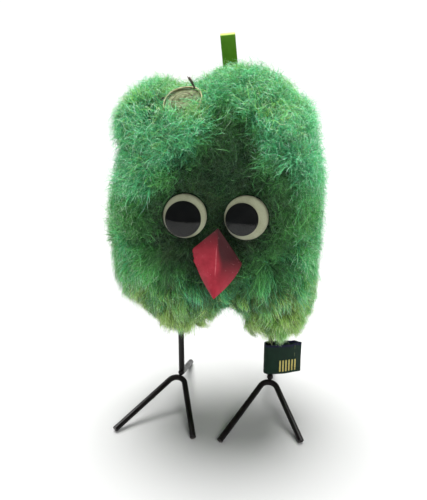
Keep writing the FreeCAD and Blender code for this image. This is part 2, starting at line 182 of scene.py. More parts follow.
class Look:
    """A material under construction. Its methods add nodes and return their output sockets."""

    def __init__(self, name, **values):
        """Constant values are set on the shader's own sockets."""
        self.material = bpy.data.materials.new(name)
        self.material.use_nodes = True
        self.tree = self.material.node_tree
        self.shader = self.tree.nodes["Principled BSDF"]
        for socket, value in values.items():
            self.shader.inputs[socket.replace("_", " ")].default_value = value

    def node(self, kind, options=None, **values):
        """Add a node. A value that is a socket is linked, and any other value is set."""
        made = self.tree.nodes.new("ShaderNode" + kind)
        for option, value in (options or {}).items():
            setattr(made, option, value)
        for name, value in values.items():
            socket = made.inputs[int(name[1:])] if name[1:].isdigit() else made.inputs[name.replace("_", " ")]
            if isinstance(value, bpy.types.NodeSocket):
                self.tree.links.new(value, socket)
            else:
                socket.default_value = value
        return made

    def place(self):
        return self.node("TexCoord").outputs["Object"]

    def uv(self):
        """U and V of the piece's own map."""
        place = self.node("UVMap", {"uv_map": "OFBake"}).outputs["UV"]
        parts = self.node("SeparateXYZ", Vector=place).outputs
        return parts["X"], parts["Y"]

    def noise(self, place, scale, detail, **values):
        return self.node("TexNoise", Vector=place, Scale=scale, Detail=detail, **values).outputs["Fac"]

    def ramp(self, factor, stops):
        """A colour ramp from (place, colour) stops."""
        made = self.node("ValToRGB", Fac=factor)
        line = made.color_ramp
        while len(line.elements) < len(stops):
            line.elements.new(0.5)
        for element, (place, colour) in zip(line.elements, stops):
            element.position = place
            element.color = colour
        return made.outputs["Color"]

    def blend(self, factor, first, second, mode="MIX"):
        options = {"data_type": "RGBA", "blend_type": mode}
        return self.node("Mix", options, i0=factor, i6=first, i7=second).outputs[2]

    def mapped(self, value, start, end, low=0.0, high=1.0, kind="LINEAR"):
        """low where value is start, high where it is end, and held beyond them."""
        made = self.node(
            "MapRange", {"interpolation_type": kind},
            Value=value, From_Min=start, From_Max=end, To_Min=low, To_Max=high)
        return made.outputs["Result"]

    def stepped(self, value, start, end):
        """0 where value is under start, 1 over end, smooth between. start may be the larger."""
        return self.mapped(value, start, end, kind="SMOOTHSTEP")

    def maths(self, operation, first, second=0.5):
        return self.node("Math", {"operation": operation}, i0=first, i1=second).outputs["Value"]

    def times(self, first, second):
        return self.maths("MULTIPLY", first, second)

    def joined(self, socket, output):
        self.tree.links.new(output, self.shader.inputs[socket])

    def colour(self, output):
        self.joined("Base Color", output)

    def rough(self, output):
        self.joined("Roughness", output)

    def bump(self, height, depth, strength=1.0):
        """Relief of a height from 0 to 1, this deep in millimetres."""
        made = self.node("Bump", Strength=strength, Distance=depth * MM, Height=height)
        self.joined("Normal", made.outputs["Normal"])

    def woven(self, u, v, across_count, along_count, depth):
        """Relief of a plain weave, this many threads across and along the left half of the UV square."""
        over = self.maths("SINE", self.times(u, WEAVE_SHARE * 2 * math.pi * across_count))
        along = self.maths("SINE", self.times(v, 2 * math.pi * along_count))
        height = self.mapped(self.times(over, along), -1.0, 1.0)
        self.bump(height, depth, 0.7)
        return height


def between(look, value, start, full, fading, end):
    """1 from full to fading, and 0 before start and after end."""
    return look.times(look.stepped(value, start, full), look.stepped(value, end, fading))


# ---- the body's outer shape

# Outline from the bottom up: height as a share of the body's, then reach to the left, to the right, and to
# front and back, as shares of half the width and half the depth. The first and last rows close it.
OUTLINE = np.array([
    (0.000, 0.40, 0.55, 0.30),
    (0.110, 0.62, 0.76, 0.50),
    (0.190, 0.87, 0.92, 0.74),
    (0.250, 0.93, 0.96, 0.86),
    (0.310, 0.94, 0.96, 0.94),
    (0.380, 0.95, 0.96, 0.98),
    (0.490, 0.97, 0.98, 1.00),
    (0.600, 0.925, 0.95, 1.00),
    (0.720, 0.845, 0.92, 0.97),
    (0.790, 0.82, 0.86, 0.90),
    (0.830, 0.755, 0.86, 0.84),
    (0.880, 0.62, 0.78, 0.68),
    (0.960, 0.05, 0.05, 0.05),
])
SQUARENESS = 2.6
TRUNK_ENDS = (0.135, 0.93)
CLEFT_X = FACE_X + 1.2
CLEFT_HALF = 13.0
CLEFT_RISE = 14.8
UNION_BLEND = 2.5
CORE = np.array([BODY_MIDDLE[0], BODY_MIDDLE[1], BODY_BOTTOM + 0.5 * BODY_HEIGHT])


def across(share):
    return BODY_MIDDLE[0] + share * BODY_HALF[0]


# Lobes: middle, radius, half length along Y.
LOBES = [
    ((across(0.221), BODY_MIDDLE[1], fur_high[2] - 26.9), 25.8, 3.0),
    ((across(-0.504), BODY_MIDDLE[1], fur_high[2] - 21.9), 15.0, 8.0),
    ((LEG_X["left"] + 2.5, BODY_MIDDLE[1], BODY_BOTTOM + 23.0), 16.0, 11.0),
    ((LEG_X["right"] + 1.0, BODY_MIDDLE[1], BODY_BOTTOM + 20.6), 15.0, 11.0),
]


def outer_gap(p):
    """Roughly how far a point is outside the fur's outer shape, negative inside."""
    share = (p[:, 2] - BODY_BOTTOM) / BODY_HEIGHT
    left, right, depth = (np.interp(share, OUTLINE[:, 0], OUTLINE[:, k]) for k in (1, 2, 3))
    x = p[:, 0] - BODY_MIDDLE[0]
    y = p[:, 1] - BODY_MIDDLE[1]
    half_width = np.where(x > 0, right, left) * BODY_HALF[0]
    half_depth = depth * BODY_HALF[1]
    ratio = (np.abs(x) / half_width) ** SQUARENESS + (np.abs(y) / half_depth) ** SQUARENESS
    gap = (ratio ** (1 / SQUARENESS) - 1) * np.minimum(half_width, half_depth)
    cleft = CLEFT_RISE * np.maximum(1 - np.abs(p[:, 0] - CLEFT_X) / CLEFT_HALF, 0) / BODY_HEIGHT
    ends = np.maximum(TRUNK_ENDS[0] + cleft - share, share - TRUNK_ENDS[1]) * BODY_HEIGHT
    corner = np.maximum(gap, 0) ** 2 + np.maximum(ends, 0) ** 2
    gap = np.where(corner > 0, np.sqrt(corner), np.maximum(gap, ends))
    for middle, radius, half_length in LOBES:
        q = p - np.array(middle)
        q[:, 1] -= np.clip(q[:, 1], -half_length, half_length)
        lobe = lengths(q) - radius
        mix = np.clip(0.5 + 0.5 * (gap - lobe) / UNION_BLEND, 0, 1)
        gap = gap + mix * (lobe - gap) - UNION_BLEND * mix * (1 - mix)
    return gap


def outward(p):
    """Unit normals of the outer shape at any points."""
    step = 0.6
    slopes = [outer_gap(p + step * axis) - outer_gap(p - step * axis) for axis in np.eye(3)]
    return unit(np.stack(slopes, axis=1))


# The face and a parting above it are clipped shorter than the rest, and their hair gets painted shade:
# (height, reach to the left, reach to the right, how much shorter), from the bottom up.
FACE = np.array([
    (60.0, 5.0, 5.0, 0.0),
    (70.0, 14.0, 13.0, 2.0),
    (82.0, 25.0, 21.0, 4.4),
    (93.0, 26.0, 27.0, 5.0),
    (103.0, 19.0, 23.0, 4.8),
    (112.0, 11.0, 18.0, 4.6),
    (122.0, 6.0, 14.0, 4.3),
    (132.0, 2.0, 10.0, 3.2),
    (141.0, -1.0, 7.0, 0.5),
])
DEEPEST_CLIP = 5.0


def clipped(p, normals):
    """How much shorter the pile is at each place."""
    left, right, depth = (np.interp(p[:, 2], FACE[:, 0], FACE[:, k]) for k in (1, 2, 3))
    middle, half = FACE_X + (right - left) / 2, (right + left) / 2
    side = 1 - soft_step(np.abs(p[:, 0] - middle), 0.35 * half, 1.5 * half)
    return depth * side * soft_step(-normals[:, 1], 0.05, 0.5)


def surface_at(directions, inset):
    """The point on the shape, moved in by inset, that each direction from the core meets."""
    near = np.full(len(directions), 2.0)
    far = np.full(len(directions), 95.0)
    for _ in range(36):
        middle = (near + far) / 2
        outside = outer_gap(CORE + directions * middle[:, None]) > -inset
        far = np.where(outside, middle, far)
        near = np.where(outside, near, middle)
    return CORE + directions * near[:, None]


# ---- keeping hair off the hard parts

DOME_EDGE_H = 4.3         # above this, along the eye's axis, a bold hair is in front of the dome's skirt
LEG_TOP = 62.0            # hair is kept off the legs up to this height
BEAK_LEAN = math.radians(12)
BEAK_ROLL = math.radians(2.5)
BEAK_WIDTH = 17.6
BEAK_LEFT_SHOULDER = 8.6
BEAK_RIGHT_SHOULDER = 12.4
BEAK_LENGTH = 24.8
BEAK_BULGE = 1.35
BEAK_TIP_R = 1.5
BEAK_T = 0.95
BEAK_FOLD_DEPTH = 4.2
BEAK_TOP = np.array([FACE_X + 1.2, fur_low[1] - 1.0, node_box("beak")[1][2]])
BEAK_SIDE = np.array([math.cos(BEAK_ROLL), 0, -math.sin(BEAK_ROLL)])
BEAK_DOWN = math.cos(BEAK_LEAN) * np.array([-math.sin(BEAK_ROLL), -math.tan(BEAK_LEAN), -math.cos(BEAK_ROLL)])
BEAK_FRONT = np.cross(BEAK_SIDE, -BEAK_DOWN)
HAT_PITCH = math.radians(34)
HAT_ROLL = math.radians(17)
HAT_MIDDLE = np.array([across(-0.504) + 11.5, fur_low[1] + 20.5, fur_high[2] - 13.0])
HAT_R = 7.3
HAT_LIP_H = 1.5


def turned(x, y, z):
    """A vector of the hat's own frame, in the part's frame."""
    y, z = rotated(y, z, HAT_PITCH)
    x, z = rotated(x, z, HAT_ROLL)
    return np.array([x, y, z])


HAT_X, HAT_Y, HAT_Z = (turned(*axis) for axis in np.eye(3))


def on_hat(x, y, z):
    """Places given in the hat's own frame, in the part's frame."""
    return HAT_MIDDLE + x[..., None] * HAT_X + y[..., None] * HAT_Y + z[..., None] * HAT_Z


RIBBON_W = 5.7
RIBBON_LEAN = math.radians(5.7)
RIBBON_SIDE = np.array([math.cos(RIBBON_LEAN), 0, math.sin(RIBBON_LEAN)])
RIBBON_TOP = np.array([
    ribbon_low[0] + RIBBON_W / 2 * RIBBON_SIDE[0], (ribbon_low[1] + ribbon_high[1]) / 2, ribbon_high[2]])
RIBBON_ROOM = 1.8         # hair stays this far from the ribbon's middle, in front and behind


def beak_reach(down, shoulder):
    """How far the beak reaches to one side, this far down its ridge. Its lower edge is rounded."""
    upper = BEAK_WIDTH / 2 * down / shoulder
    share = np.clip((down - shoulder) / (BEAK_LENGTH - shoulder), 0, 1)
    lower = BEAK_WIDTH / 2 * (1 - share) + 4 * BEAK_BULGE * share * (1 - share)
    from_centre = np.clip(down - (BEAK_LENGTH - BEAK_TIP_R), 0, BEAK_TIP_R)
    tip = np.where(from_centre > 0, np.sqrt(BEAK_TIP_R ** 2 - from_centre ** 2), BEAK_WIDTH)
    return np.where(down < shoulder, upper, np.where(down > BEAK_LENGTH, -1, np.minimum(lower, tip)))


def cleared(p, bold):
    """Points moved off the eyes, beak, hat, ribbon and legs. bold is True or False for each point."""
    p = p.copy()
    for side in SIDES:
        height, flat = from_axis(p, EYE_PLACE[side], EYE_AXIS)
        reach = lengths(flat)
        room = np.where(bold & (height > DOME_EDGE_H), EYE_R - 1.6, EYE_R + 0.3)
        hit = (height > -2.5) & (height < 16) & (reach < room)
        p[hit] += (flat / np.maximum(reach, 0.1)[:, None] * (room - reach)[:, None])[hit]
    q = p - BEAK_TOP
    down, front, side = q @ BEAK_DOWN, q @ BEAK_FRONT, q @ BEAK_SIDE
    level = -BEAK_FOLD_DEPTH * np.abs(side) / (BEAK_WIDTH / 2) - 1.5
    right, left = (beak_reach(down, shoulder) + 0.3 for shoulder in (BEAK_RIGHT_SHOULDER, BEAK_LEFT_SHOULDER))
    hit = (side < right) & (side > -left) & (front > level) & (down > 0)
    p[hit] -= ((front - level)[:, None] * BEAK_FRONT)[hit]
    height, flat = from_axis(p, HAT_MIDDLE, HAT_Z)
    reach = lengths(flat)
    over = (reach < HAT_R + 0.4) & (height > -0.5)
    around = (reach < HAT_R + 2.2) & (height > 0.6) & ~bold & (flat @ HAT_Y > -3)
    p[over & ~bold] -= ((height + 0.6)[:, None] * HAT_Z)[over & ~bold]
    p[around] -= ((height - 0.6)[:, None] * HAT_Z)[around]
    p[over & bold] += (np.maximum(HAT_LIP_H + 0.4 - height, 0)[:, None] * HAT_Z)[over & bold]
    q = p - RIBBON_TOP
    hit = (np.abs(q @ RIBBON_SIDE) < RIBBON_W / 2 + 0.25) & (np.abs(q[:, 1]) < RIBBON_ROOM) & (q[:, 2] < 0.5)
    p[hit, 1] += (np.where(q[:, 1] > 0, RIBBON_ROOM, -RIBBON_ROOM) - q[:, 1])[hit]
    for side in SIDES:
        away = p[:, :2] - np.array([LEG_X[side], LEG_Y])
        reach = lengths(away)
        hit = (reach < WIRE_R + 0.25) & (p[:, 2] < LEG_TOP)
        p[hit, :2] += (away / np.maximum(reach, 0.05)[:, None] * (WIRE_R + 0.25 - reach)[:, None])[hit]
    return p


# ---- undercoat

UNDERCOAT_DEPTH = 8.0

sphere = bmesh.new()
bmesh.ops.create_icosphere(sphere, subdivisions=7, radius=1.0)
SPHERE_POINTS = unit(np.array([v.co[:] for v in sphere.verts]))
SPHERE_FACES = np.array([[v.index for v in f.verts] for f in sphere.faces])
sphere.free()

skin = surface_at(SPHERE_POINTS, 0.0)
skin_normals = outward(skin)


def sines(p, count, longest, shortest, generator):
    """Smooth pseudo-random values from a few sine waves of different lengths, about -1 to 1."""
    total = np.zeros(len(p))
    for _ in range(count):
        heading = unit(generator.normal(size=3))
        length = generator.uniform(shortest, longest)
        total += np.sin(2 * np.pi * (p @ heading) / length + generator.uniform(0, 2 * np.pi))
    return total / math.sqrt(count)


core_low, core_high = node_box("body_core")
CORE_ROUNDING = 9.0
CORE_COVER = 2.0


def core_gap(p):
    """How far a point is outside the rounded wooden block."""
    q = np.abs(p - (core_low + core_high) / 2) - ((core_high - core_low) / 2 - CORE_ROUNDING)
    return lengths(np.maximum(q, 0)) + np.minimum(q.max(axis=1), 0) - CORE_ROUNDING


def undercoat_places(p, normals):
    deep = UNDERCOAT_DEPTH + 0.15 * clipped(p, normals)
    places = p - normals * deep[:, None]
    for _ in range(3):
        places = places + normals * np.maximum(CORE_COVER - core_gap(places), 0)[:, None]
    return places


lumps = sines(skin, 9, 9.0, 4.0, np.random.default_rng(3))
base = undercoat_places(skin, skin_normals) + skin_normals * (0.35 * lumps)[:, None]
base = cleared(base, np.zeros(len(base), bool))

undercoat_look = Look("fur_undercoat", Roughness=0.9, Specular_IOR_Level=0.2)
speckle = undercoat_look.node("TexNoise", Scale=900.0, Detail=4.0).outputs["Fac"]
undercoat_look.colour(undercoat_look.ramp(speckle, [
    (0.30, srgb(8, 30, 16)), (0.70, srgb(24, 74, 38))]))
undercoat_look.bump(speckle, 0.6, 0.8)

undercoat = add_mesh(triangle_mesh("fur_undercoat", base, SPHERE_FACES), undercoat_look)
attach(undercoat, "bird")
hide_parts("fur_cover")

# ---- strands

PIECE_TRIANGLES = 190000


def scattered(count):
    """Area-weighted places on the skin."""
    corner = skin[SPHERE_FACES[:, 0]]
    edges = skin[SPHERE_FACES[:, 1]] - corner, skin[SPHERE_FACES[:, 2]] - corner
    areas = lengths(np.cross(*edges))
    chosen = draw.choice(len(areas), count, p=areas / areas.sum())
    share = draw.random((count, 2))
    share = np.where(share.sum(axis=1, keepdims=True) > 1, 1 - share, share)
    places = corner[chosen] + share[:, :1] * edges[0][chosen] + share[:, 1:] * edges[1][chosen]
    return surface_at(unit(places - CORE), 0.0)


def combed(p, n):
    """The way the fur lies at each place, along the skin."""
    up = n[:, 2]
    from_crown = p - np.array([across(0.1), BODY_MIDDLE[1], 0])
    from_crown[:, 2] = 0
    lie = unit(from_crown) * soft_step(up, 0.0, 0.8)[:, None] * 0.9
    lie[:, 2] -= 1.0 - 0.4 * soft_step(up, 0.2, 0.9)
    front = soft_step(-n[:, 1], 0.3, 0.8)
    sideways = np.clip((p[:, 0] - FACE_X) / 12.0, -1, 1)
    lie[:, 0] += 0.75 * sideways * front * soft_step(p[:, 2], 55, 75)
    return unit(lie)


def across_skin(vectors, n):
    return vectors - (vectors * n).sum(axis=-1, keepdims=True) * n


def led_by(places, count):
    """Pick some of the places as leaders, and give the nearest leader to each place."""
    leaders = draw.choice(len(places), count, replace=False)
    tree = KDTree(count)
    for index, leader in enumerate(leaders):
        tree.insert(places[leader], index)
    tree.balance()
    return leaders[np.array([tree.find(place)[1] for place in places])]


STRAIGHT_BELOW, FRIZZY_ABOVE = 55.0, 95.0


def curliness(p):
    """The upper fur is frizzy, and the underside hangs straighter."""
    return 0.15 + 0.85 * soft_step(p[:, 2], STRAIGHT_BELOW, FRIZZY_ABOVE)


def sideways_of(p):
    """From -1 at the body's left side to 1 at its right."""
    return (p[:, 0] - BODY_MIDDLE[0]) / BODY_HALF[0]


def tones(p, n, shade):
    """Where each hair stands in the palette, from the parting darkened as painted shade to the yellow-green
    underside.
    """
    # mintier higher up, and a little lighter as painted light where the hair faces up
    tone = 0.34 + 0.26 * soft_step(p[:, 2], 85, 120) + 0.08 * soft_step(n[:, 2], 0.1, 0.7)
    under = 1 - soft_step(p[:, 2], 40, 78)
    edge = 0.24 + 0.13 * sines(p, 6, 15.0, 6.0, draw)
    tone = np.where(under > edge, 0.66 + 0.26 * under, tone)
    # painted light: a lighter, mintier tone on the right cheek
    at_cheek = soft_step(p[:, 2], 60, 80) * (1 - soft_step(p[:, 2], 85, 110))
    tone = tone + 0.16 * soft_step(sideways_of(p), 0.4, 0.9) * at_cheek
    # painted shade: darker in the parting and round the face
    return tone * (1 - shade)


LOCKS = 1500
HAIR_POINTS = 5
OVER_HAT_SHARE = 0.45
LONGEST_STEP = 6.0        # a hair with a longer straight run than this is dropped
lock_places = scattered(LOCKS)
lock_height = draw.uniform(-4.2, 1.7, LOCKS)
lock_lean = draw.normal(size=(LOCKS, 3))
lock_light = draw.uniform(0.55, 1.75, LOCKS)
lock_tone = 0.06 * draw.normal(size=LOCKS)
lock_pull = draw.uniform(0.15, 0.7, LOCKS)
lock_tree = KDTree(LOCKS)
for index, place in enumerate(lock_places):
    lock_tree.insert(place, index)
lock_tree.balance()


def grow(count, frizz, wisp_hairs, wisp_cling, tip_range, glow, bold_share):
    """Hairs as (points, tone, light). frizz is how far they wander near the surface, in millimetres. Each
    wisp has about wisp_hairs hairs. tip_range is how far a hair may reach outside the outer shape, before its
    lock's own height. glow is the darkest, the lightest, and the share that gets painted glints."""
    start = np.concatenate([lock_places, scattered(count - LOCKS)])
    lock, from_lock = np.array([lock_tree.find(place)[1:] for place in start]).T
    lock = lock.astype(int)
    normals = outward(start)
    curly = curliness(start)
    short = clipped(start, normals)
    # painted shade for the clipped face and parting, used to darken each hair's tone and light
    shade = 0.8 * np.clip(short / DEEPEST_CLIP * 1.5, 0, 1)
    steps = np.linspace(0, 1, HAIR_POINTS) ** 0.75
    wander = np.stack([sines(start, 7, 24.0, 8.0, draw) for _ in range(3)], axis=1)
    flow = combed(start, normals) * (1.0 - 0.75 * curly)[:, None] + (0.30 + 0.30 * curly)[:, None] * wander
    flow = flow + 0.55 * lock_lean[lock] + draw.normal(size=(count, 3)) * (0.15 + 0.5 * curly)[:, None]
    # some hairs in front of the hat lie back over its near edge
    to_hat = HAT_MIDDLE - start
    to_hat -= (to_hat @ HAT_Z)[:, None] * HAT_Z
    reach = lengths(to_hat)
    over_hat = (reach > HAT_R - 0.5) & (reach < HAT_R + 5.0) & (to_hat @ HAT_Y > 1.5)
    over_hat &= (draw.random(count) < OVER_HAT_SHARE) & (np.abs((start - HAT_MIDDLE) @ HAT_Z) < 9.0)
    flow = np.where(over_hat[:, None], 1.1 * unit(to_hat) + 0.35 * flow, flow)
    flow = across_skin(flow, normals)
    pile = UNDERCOAT_DEPTH - short + draw.normal(size=count) * 0.8
    lay = (0.35 + 0.5 * draw.random(count)) * pile
    rise = 1 - (1 - steps) ** 1.9
    points = (undercoat_places(start, normals) - 0.4 * normals)[:, None]
    points = points + normals[:, None] * (pile[:, None] * rise)[..., None]
    points = points + flow[:, None] * (lay[:, None] * steps ** 1.3)[..., None]
    points[..., 2] -= (steps ** 2) * (2.0 - 1.8 * curly)[:, None]
    wisp = led_by(start, count // wisp_hairs)
    # each hair has a tangled walk of its own near the surface, then joins its lock and its wisp
    walk = np.cumsum(draw.normal(size=points.shape), axis=1)
    walk = (walk - walk[:, :1]) / math.sqrt(HAIR_POINTS)
    points += walk * (frizz * (0.15 + 0.85 * curly)[:, None] * np.minimum(1.4 * steps, 1))[..., None]
    pull = lock_pull[lock] * (1.0 - 0.55 * curly)
    points = points + (points[lock] - points) * (pull[:, None] * steps ** 1.2)[..., None]
    cling = draw.uniform(0.3, 1.0, count)[wisp] * wisp_cling * (1.0 - 0.6 * curly)
    points = points + (points[wisp] - points) * (cling[:, None] * steps)[..., None]
    # tips end near the outer shape, and each lock has its own length
    allowed = draw.uniform(*tip_range, count) + lock_height[lock] - 0.25 * from_lock - short + 1.2 * over_hat
    for step in range(HAIR_POINTS // 2, HAIR_POINTS):
        place = points[:, step]
        excess = np.maximum(outer_gap(place.copy()) - allowed, 0)
        points[:, step] -= outward(place) * excess[:, None]
    # none grows under an eye or the hat, and the rest part round the hard pieces
    keep = np.ones(count, bool)
    for side in SIDES:
        _, flat = from_axis(points[:, 0], EYE_PLACE[side], EYE_AXIS)
        keep &= ~((lengths(flat) < EYE_R - 0.8) & (normals[:, 1] < 0))
    height, flat = from_axis(points[:, 0], HAT_MIDDLE, HAT_Z)
    keep &= ~((lengths(flat) < HAT_R) & (height > -3))
    behind_hat = (lengths(start - HAT_MIDDLE) < 12) & ((start - HAT_MIDDLE) @ HAT_Y > -2.5)
    bold = (draw.random(count) < bold_share) & ~behind_hat | over_hat
    points = cleared(points.reshape(-1, 3), np.repeat(bold, HAIR_POINTS)).reshape(points.shape)
    points[..., 2] = np.maximum(points[..., 2], BODY_BOTTOM - 1.0)
    keep &= lengths(np.diff(points, axis=1)).max(axis=1) < LONGEST_STEP
    tone = tones(start, normals, shade) + 0.06 * sines(start, 6, 30.0, 10.0, draw) * (1 - shade)
    spread = 0.05 * draw.normal(size=count)[wisp] + lock_tone[lock]
    tone = np.clip(tone + spread * (1 - 0.7 * shade), 0.01, 0.99)
    low, high, glinting = glow
    light = low + (high - low) * draw.beta(1.0, 1.4, count)[wisp] + 0.06 * draw.normal(size=count)
    # each lock's own lightness, with painted light and shade: lighter on high locks, darker away from a
    # lock's middle
    lightness_and_painted_light = lock_light[lock] * (1 + 0.04 * lock_height[lock]) * (1 - 0.25 * soft_step(from_lock, 1.0, 4.0))
    sideways = sideways_of(start)
    # painted light: lighter on the right and left sides and on top
    lightness_and_painted_light *= 1 + 0.7 * soft_step(sideways, 0.4, 0.9) + 0.35 * soft_step(-sideways, 0.5, 0.9)
    lightness_and_painted_light *= 1 + 0.3 * soft_step(normals[:, 2], 0.3, 0.8)
    light = np.clip(light * lightness_and_painted_light, 0.08, 0.68)
    # painted glints: some hairs turned near-white, fewer in the painted shade
    light = np.where(draw.random(count) < glinting * lightness_and_painted_light * (1 - 0.6 * shade), 1.0, light)
    # painted shade in the face and parting
    light = np.clip(light * (1 - 0.42 * shade), 0.08, 1.0)
    return points[keep], tone[keep], light[keep]


fur_look = Look(
    "fur_strand", Roughness=0.27, Specular_IOR_Level=1.0, Sheen_Weight=0.3, Sheen_Roughness=0.35,
    Sheen_Tint=srgb(190, 255, 215))
hair_tone, hair_light = fur_look.uv()
hue = fur_look.ramp(hair_tone, [
    (0.0, srgb(88, 116, 62)), (0.14, srgb(70, 140, 62)), (0.34, srgb(118, 228, 108)),
    (0.62, srgb(108, 246, 172)), (0.74, srgb(146, 232, 112)), (0.95, srgb(200, 244, 126))])
# painted glints: the near-white colours that the lightest hairs take
glint = fur_look.ramp(hair_tone, [
    (0.0, srgb(120, 156, 96)), (0.14, srgb(146, 206, 130)), (0.34, srgb(214, 252, 206)),
    (0.62, srgb(204, 255, 232)), (0.95, srgb(240, 255, 196))])
# each hair darkens towards its root, partly its own colour and partly painted shade of the pile
shade = fur_look.ramp(hair_light, [
    (0.0, (0.10, 0.10, 0.10, 1)), (0.3, (0.4, 0.4, 0.4, 1)), (0.62, (1.0, 1.0, 1.0, 1))])
shaded = fur_look.blend(1.0, hue, shade, "MULTIPLY")
fur_look.colour(fur_look.blend(fur_look.stepped(hair_light, 0.76, 0.95), shaded, glint))


def ring_faces(rings):
    """Triangles of one closed three-sided hair with a pointed tip."""
    faces = [(2, 1, 0)]
    for ring in range(rings - 1):
        for corner in range(3):
            a = 3 * ring + corner
            b = 3 * ring + (corner + 1) % 3
            faces += [(a, b, b + 3), (a, b + 3, a + 3)]
    last = 3 * (rings - 1)
    faces += [(last + corner, last + (corner + 1) % 3, last + 3) for corner in range(3)]
    return np.array(faces)


def strand_mesh(name, spine, radius, tone, light):
    """Closed tapering hairs. U is the hair's tone, and V runs up from its root as it gets lighter.
    radius, tone and light are one value for each hair, or one for all."""
    count, points_each = spine.shape[:2]
    radius, tone, light = (np.broadcast_to(value, count) for value in (radius, tone, light))
    rings = points_each - 1
    along = unit(np.gradient(spine, axis=1))
    side = unit(np.cross(along, unit(draw.normal(size=(count, 1, 3)))))
    other = np.cross(along, side)
    taper = np.interp(np.linspace(0, 1, rings), (0, 0.3, 1), (0.7, 1.0, 0.6))
    offsets = []
    for corner in range(3):
        angle = 2 * math.pi * corner / 3
        offset = math.cos(angle) * side[:, :rings] + math.sin(angle) * other[:, :rings]
        offsets.append(spine[:, :rings] + offset * (radius[:, None] * taper)[..., None])
    places = np.stack(offsets, axis=2).reshape(count, rings * 3, 3)
    places = np.concatenate([places, spine[:, rings:]], axis=1)
    first = (np.arange(count) * places.shape[1])[:, None, None]
    triangles = (ring_faces(rings)[None] + first).reshape(-1, 3)
    v = np.append(np.repeat(np.linspace(0.02, 0.9, rings), 3), 1.0)
    v = 0.02 + 0.96 * v[None] * light[:, None]
    u = tone[:, None] + np.append(np.tile([-0.004, 0.0, 0.004], rings), 0.0)[None]
    uv = np.stack([u, v], axis=-1).reshape(-1, 2)
    return triangle_mesh(name, places.reshape(-1, 3), triangles, uv[triangles.ravel()])


def add_fur(name, hairs, radius_range):
    """Hairs as several pieces, each a slice of the body seen from above."""
    points, tone, light = hairs
    turn = np.arctan2(points[:, 0, 1] - BODY_MIDDLE[1], points[:, 0, 0] - BODY_MIDDLE[0])
    order = np.argsort(turn, kind="stable")
    pieces = math.ceil(len(order) * len(ring_faces(points.shape[1] - 1)) / PIECE_TRIANGLES)
    for index, group in enumerate(np.array_split(order, pieces)):
        radius = draw.uniform(*radius_range, len(group)) * (0.75 + 0.5 * light[group])
        mesh = strand_mesh(f"{name}_{index + 1:02d}", points[group], radius, tone[group], light[group])
        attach(add_mesh(mesh, fur_look), "bird")


add_fur("fur_pile", grow(
    44000, frizz=1.2, wisp_hairs=4, wisp_cling=0.7, tip_range=(-2.6, -0.4),
    glow=(0.08, 0.7, 0.04), bold_share=0.1), (0.09, 0.13))
add_fur("fur_frizz", grow(
    98000, frizz=2.8, wisp_hairs=3, wisp_cling=0.4, tip_range=(-1.6, 1.8),
    glow=(0.12, 1.0, 0.2), bold_share=0.2), (0.045, 0.085))
# thicker hairs that are mostly painted glints
add_fur("fur_glints", grow(
    18000, frizz=2.8, wisp_hairs=2, wisp_cling=0.3, tip_range=(-0.8, 2.4),
    glow=(0.5, 1.0, 0.9), bold_share=0.2), (0.08, 0.12))
add_fur("fur_fuzz", grow(
    30000, frizz=2.8, wisp_hairs=3, wisp_cling=0.2, tip_range=(1.4, 6.2),
    glow=(0.50, 1.1, 0.35), bold_share=0.2), (0.026, 0.042))

# ---- shapes made from grids of points


def quads_of(rows, columns, first=0, wrap=False, flip=False):
    """Four-sided faces of a grid of points. wrap joins its last row to its first."""
    row, column = np.meshgrid(np.arange(rows if wrap else rows - 1), np.arange(columns - 1), indexing="ij")
    here = row * columns + column
    below = (row + 1) % rows * columns + column
    faces = np.stack([here, here + 1, below + 1, below], axis=-1).reshape(-1, 4) + first
    return faces[:, ::-1] if flip else faces


def sheet_mesh(name, front, back, wrap=False):
    """A sheet from its front and back grids, joined at the edges. The front has the UV square's left half."""
    rows, columns = front.shape[:2]
    count = rows * columns
    faces = [quads_of(rows, columns, 0, wrap), quads_of(rows, columns, count, wrap, flip=True)]
    line = np.arange(rows) * columns
    after = np.roll(line, -1)
    if not wrap:
        line, after = line[:-1], after[:-1]
        top = np.arange(columns - 1)
        end = top + (rows - 1) * columns
        faces.append(np.stack([top, top + count, top + count + 1, top + 1], axis=1))
        faces.append(np.stack([end, end + 1, end + count + 1, end + count], axis=1))
    last = columns - 1
    faces.append(np.stack([line, after, after + count, line + count], axis=1))
    faces.append(np.stack([line + last, line + last + count, after + last + count, after + last], axis=1))
    faces = np.concatenate(faces)
    mesh = bpy.data.meshes.new(name)
    places = np.concatenate([front.reshape(-1, 3), back.reshape(-1, 3)]) * MM
    mesh.from_pydata(places.tolist(), [], faces.tolist())
    along = np.linspace(0, 1, rows + wrap)[:rows]
    along, over = np.meshgrid(along, np.linspace(0, 1, columns), indexing="ij")
    grid_uv = np.stack([0.01 + 0.47 * over, 0.01 + 0.98 * along], axis=-1).reshape(-1, 2)
    uv = np.concatenate([grid_uv, grid_uv + [0.51, 0]])
    set_uv(mesh, uv[faces.ravel()])
    mesh.shade_smooth()
    mesh.set_sharp_from_angle(angle=math.radians(50))
    return mesh


